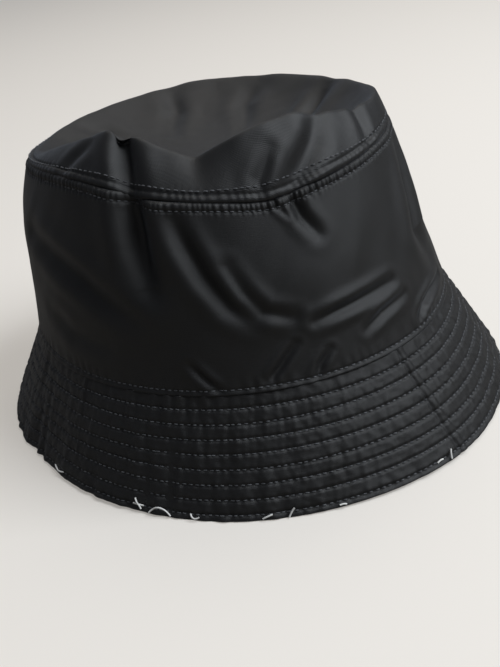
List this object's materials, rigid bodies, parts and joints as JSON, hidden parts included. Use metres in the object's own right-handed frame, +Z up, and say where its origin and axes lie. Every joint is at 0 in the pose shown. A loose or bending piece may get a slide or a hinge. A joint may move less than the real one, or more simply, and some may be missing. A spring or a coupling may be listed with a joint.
{
  "type": "bucket hat",
  "caption": "Soft bucket hat with a crushed round crown and a sloping doubled brim quilted with rows of topstitching, lined inside and fitted with a sweatband.",
  "frame": {"origin": "centre of the brim edge's box, in the plane that the brim rests on", "axes": "+Z up through the crown, +Y towards the centre back where the brim is joined, +X to the wearer's right"},
  "size_m": [0.218, 0.248, 0.138],
  "materials": {
    "shell_cloth": "satin woven nylon, black",
    "interlining": "stiff non-woven, matt",
    "lining_cloth": "plain smooth lining, black",
    "sweatband_cloth": "ribbed woven band, black",
    "label_cloth": "woven satin tape, blank",
    "sewing_thread": "spun polyester thread, dark grey",
    "loose_thread": "spun thread, white"
  },
  "bodies": {
    "root": {"crown_tip": "shell_cloth", "crown_side": "shell_cloth", "brim_top": "shell_cloth", "brim_interlining": "interlining", "brim_under": "shell_cloth", "side_lining": "lining_cloth", "tip_lining": "lining_cloth", "sweatband": "sweatband_cloth", "sweatband_stitch": "sewing_thread", "care_label": "label_cloth", "brim_stitch_1": "sewing_thread", "brim_stitch_2": "sewing_thread", "brim_stitch_3": "sewing_thread", "brim_stitch_4": "sewing_thread", "brim_stitch_5": "sewing_thread", "brim_stitch_6": "sewing_thread", "brim_stitch_7": "sewing_thread", "brim_stitch_8": "sewing_thread", "crown_edge_stitch": "sewing_thread", "tip_stitch_lower": "sewing_thread", "tip_stitch_upper": "sewing_thread", "thread_ends": "loose_thread"}
  },
  "joints": []
}
